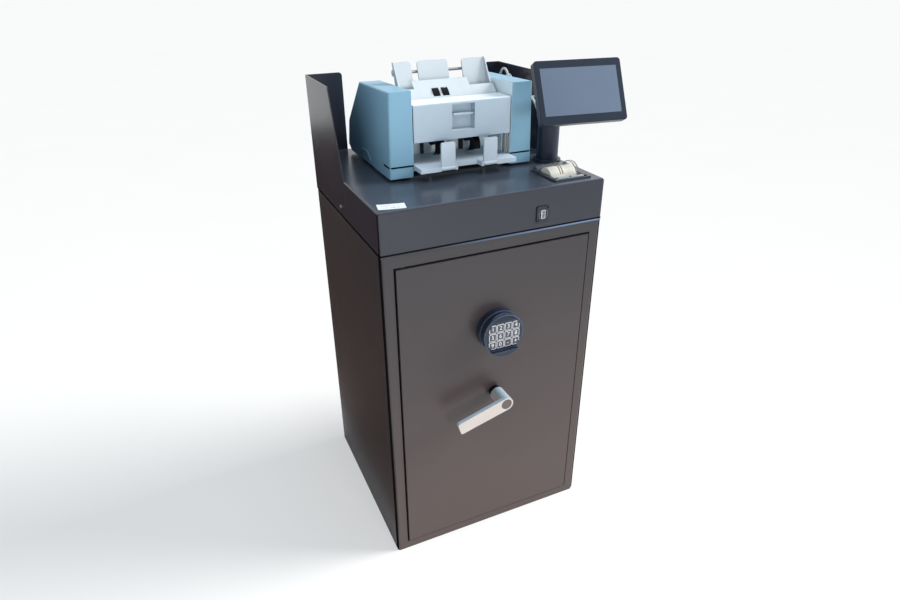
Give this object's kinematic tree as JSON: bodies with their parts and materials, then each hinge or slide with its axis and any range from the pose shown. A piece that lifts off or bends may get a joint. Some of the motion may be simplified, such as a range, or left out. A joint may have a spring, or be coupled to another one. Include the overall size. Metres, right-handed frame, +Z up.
{
  "type": "cash deposit safe",
  "caption": "Steel deposit safe with a hinged, bolted door, and on its console deck a banknote counter, a tilting touch monitor on a column and a flush receipt printer.",
  "frame": {"origin": "centre of the cabinet's footprint on the floor", "axes": "+X to the machine's right seen from the front, +Y to its back, +Z up; the door faces -Y"},
  "size_m": [0.5079, 0.4866, 0.9843],
  "materials": {
    "cabinet_paint": "satin dark paint",
    "console_paint": "semi-gloss dark paint",
    "bright_steel": "machined",
    "screw_steel": "dark plated",
    "lever_metal": "satin",
    "black_plastic": "matt",
    "keypad_plastic": "satin",
    "key_plastic": "silver, satin",
    "lock_metal": "die cast",
    "black_rubber": "matt",
    "lead_jacket": "satin jacket",
    "column_paint": "satin dark paint",
    "monitor_plastic": "satin",
    "screen_glass": "dark screen, switched off",
    "clear_plastic": "clear",
    "roll_paper": "matt",
    "casing_blue": "fine grain",
    "panel_grey": "satin",
    "white_plastic": "satin",
    "motor_metal": "satin"
  },
  "bodies": {
    "cabinet": {"safe_body": "cabinet_paint", "hinge_pins": "bright_steel", "console_deck": "console_paint", "left_wing": "console_paint", "right_wing": "console_paint", "wing_screws": "screw_steel", "port_connector": "black_plastic", "deck_grommet": "black_rubber", "lead_outer": "lead_jacket", "lead_inner": "lead_jacket", "monitor_column": "column_paint", "printer_housing": "black_plastic", "counter_base": "casing_blue", "counter_feet": "black_rubber", "left_cover": "casing_blue", "right_cover": "casing_blue", "hopper_base": "white_plastic", "hopper_back_plate": "white_plastic", "guide_rod": "bright_steel", "drive_motor": "motor_metal", "drive_belt": "black_rubber", "stacker_tray": "white_plastic"},
    "door": {"door_plate": "cabinet_paint", "handle_rosette": "black_plastic", "lock_case": "lock_metal", "keypad_housing": "keypad_plastic"},
    "handle": {"lever_handle": "lever_metal", "hub_cap": "black_plastic", "crank_spindle": "bright_steel"},
    "boltwork": {"bolt_carriage": "bright_steel", "locking_bolts": "bright_steel"},
    "lock_bolt": {"lock_bolt": "bright_steel"},
    "monitor_head": {"swivel_head": "column_paint"},
    "monitor": {"tilt_bracket": "column_paint", "monitor_shell": "monitor_plastic", "monitor_glass": "screen_glass"},
    "printer_lid": {"printer_lid": "clear_plastic"},
    "paper_roll": {"paper_roll": "roll_paper"},
    "platen_roller": {"platen_roller": "black_rubber"},
    "feed_button": {"feed_button": "black_plastic"},
    "flap": {"front_panel": "panel_grey"},
    "latch": {"latch_bar": "panel_grey"},
    "left_guide": {"left_guide": "white_plastic"},
    "right_guide": {"right_guide": "white_plastic"},
    "feed_roller": {"feed_roller": "black_rubber"},
    "stacker_rotor": {"stacker_rotor": "black_plastic"},
    "left_paddle": {"left_paddle": "white_plastic"},
    "right_paddle": {"right_paddle": "white_plastic"},
    "key_01": {"key_01": "key_plastic"},
    "key_02": {"key_02": "key_plastic"},
    "key_03": {"key_03": "key_plastic"},
    "key_04": {"key_04": "key_plastic"},
    "key_05": {"key_05": "key_plastic"},
    "key_06": {"key_06": "key_plastic"},
    "key_07": {"key_07": "key_plastic"},
    "key_08": {"key_08": "key_plastic"},
    "key_09": {"key_09": "key_plastic"},
    "key_10": {"key_10": "key_plastic"},
    "key_11": {"key_11": "key_plastic"},
    "key_12": {"key_12": "key_plastic"}
  },
  "joints": [
    {"name": "door_swing", "type": "hinge", "parent": "cabinet", "child": "door", "pos_m": [-0.185, -0.208, 0.347], "axis": [0, 0, -1], "range_deg": [0, 105]},
    {"name": "handle_turn", "type": "hinge", "parent": "door", "child": "handle", "pos_m": [0, -0.24, 0.363], "axis": [0, -1, 0], "range_deg": [0, 70]},
    {"name": "bolt_slide", "type": "slide", "parent": "door", "child": "boltwork", "axis": [1, 0, 0], "range_m": [0, 0.016]},
    {"name": "lock_bolt_slide", "type": "slide", "parent": "door", "child": "lock_bolt", "axis": [0, 0, -1], "range_m": [0, 0.006]},
    {"name": "monitor_swivel", "type": "hinge", "parent": "cabinet", "child": "monitor_head", "pos_m": [0.194, -0.06, 0.91], "axis": [0, 0, 1], "range_deg": [-15, 15]},
    {"name": "monitor_tilt", "type": "hinge", "parent": "monitor_head", "child": "monitor", "pos_m": [0.19453, -0.13062, 0.9149], "axis": [0.9919, -0.1271, 0], "range_deg": [-15, 15]},
    {"name": "lid_swing", "type": "hinge", "parent": "cabinet", "child": "printer_lid", "pos_m": [0.167, -0.115, 0.7855], "axis": [-1, 0, 0], "range_deg": [0, 75]},
    {"name": "paper_roll_spin", "type": "hinge", "parent": "cabinet", "child": "paper_roll", "pos_m": [0.167, -0.146, 0.77], "axis": [1, 0, 0], "continuous": true},
    {"name": "platen_spin", "type": "hinge", "parent": "cabinet", "child": "platen_roller", "pos_m": [0.167, -0.178, 0.771], "axis": [1, 0, 0], "continuous": true},
    {"name": "feed_button_press", "type": "slide", "parent": "cabinet", "child": "feed_button", "axis": [0, 0, -1], "range_m": [0, 0.0008], "stiffness_N_per_m": 300},
    {"name": "flap_lift", "type": "hinge", "parent": "cabinet", "child": "flap", "pos_m": [0.001, -0.02, 0.911], "axis": [-1, 0, 0], "range_deg": [0, 60]},
    {"name": "latch_slide", "type": "slide", "parent": "flap", "child": "latch", "axis": [0, 0, 1], "range_m": [0, 0.004], "stiffness_N_per_m": 150},
    {"name": "left_guide_slide", "type": "slide", "parent": "cabinet", "child": "left_guide", "axis": [1, 0, 0], "range_m": [0, 0.024]},
    {"name": "right_guide_slide", "type": "slide", "parent": "cabinet", "child": "right_guide", "axis": [-1, 0, 0], "range_m": [0, 0.024]},
    {"name": "stacker_spin", "type": "hinge", "parent": "cabinet", "child": "stacker_rotor", "pos_m": [0.001, -0.026, 0.842], "axis": [1, 0, 0], "continuous": true},
    {"name": "feed_spin", "type": "hinge", "parent": "cabinet", "child": "feed_roller", "pos_m": [-0.018, 0.0033, 0.9148], "axis": [1, 0, 0], "continuous": true},
    {"name": "left_paddle_fold", "type": "hinge", "parent": "cabinet", "child": "left_paddle", "pos_m": [-0.043, -0.093, 0.8008], "axis": [1, 0, 0], "range_deg": [0, 70]},
    {"name": "right_paddle_fold", "type": "hinge", "parent": "cabinet", "child": "right_paddle", "pos_m": [0.045, -0.093, 0.8008], "axis": [1, 0, 0], "range_deg": [0, 70]},
    {"name": "key_01_press", "type": "slide", "parent": "door", "child": "key_01", "axis": [0, 1, 0], "range_m": [0, 0.001], "stiffness_N_per_m": 400},
    {"name": "key_02_press", "type": "slide", "parent": "door", "child": "key_02", "axis": [0, 1, 0], "range_m": [0, 0.001], "stiffness_N_per_m": 400},
    {"name": "key_03_press", "type": "slide", "parent": "door", "child": "key_03", "axis": [0, 1, 0], "range_m": [0, 0.001], "stiffness_N_per_m": 400},
    {"name": "key_04_press", "type": "slide", "parent": "door", "child": "key_04", "axis": [0, 1, 0], "range_m": [0, 0.001], "stiffness_N_per_m": 400},
    {"name": "key_05_press", "type": "slide", "parent": "door", "child": "key_05", "axis": [0, 1, 0], "range_m": [0, 0.001], "stiffness_N_per_m": 400},
    {"name": "key_06_press", "type": "slide", "parent": "door", "child": "key_06", "axis": [0, 1, 0], "range_m": [0, 0.001], "stiffness_N_per_m": 400},
    {"name": "key_07_press", "type": "slide", "parent": "door", "child": "key_07", "axis": [0, 1, 0], "range_m": [0, 0.001], "stiffness_N_per_m": 400},
    {"name": "key_08_press", "type": "slide", "parent": "door", "child": "key_08", "axis": [0, 1, 0], "range_m": [0, 0.001], "stiffness_N_per_m": 400},
    {"name": "key_09_press", "type": "slide", "parent": "door", "child": "key_09", "axis": [0, 1, 0], "range_m": [0, 0.001], "stiffness_N_per_m": 400},
    {"name": "key_10_press", "type": "slide", "parent": "door", "child": "key_10", "axis": [0, 1, 0], "range_m": [0, 0.001], "stiffness_N_per_m": 400},
    {"name": "key_11_press", "type": "slide", "parent": "door", "child": "key_11", "axis": [0, 1, 0], "range_m": [0, 0.001], "stiffness_N_per_m": 400},
    {"name": "key_12_press", "type": "slide", "parent": "door", "child": "key_12", "axis": [0, 1, 0], "range_m": [0, 0.001], "stiffness_N_per_m": 400}
  ],
  "couplings": [
    {"joint": "bolt_slide", "follows": "handle_turn", "m_per_rad": 0.013096},
    {"joint": "lock_bolt_slide", "follows": "handle_turn", "m_per_rad": 0.004911},
    {"joint": "platen_spin", "follows": "paper_roll_spin", "ratio": 3.6667},
    {"joint": "right_guide_slide", "follows": "left_guide_slide", "ratio": 1},
    {"joint": "feed_spin", "follows": "stacker_spin", "ratio": 1}
  ]
}
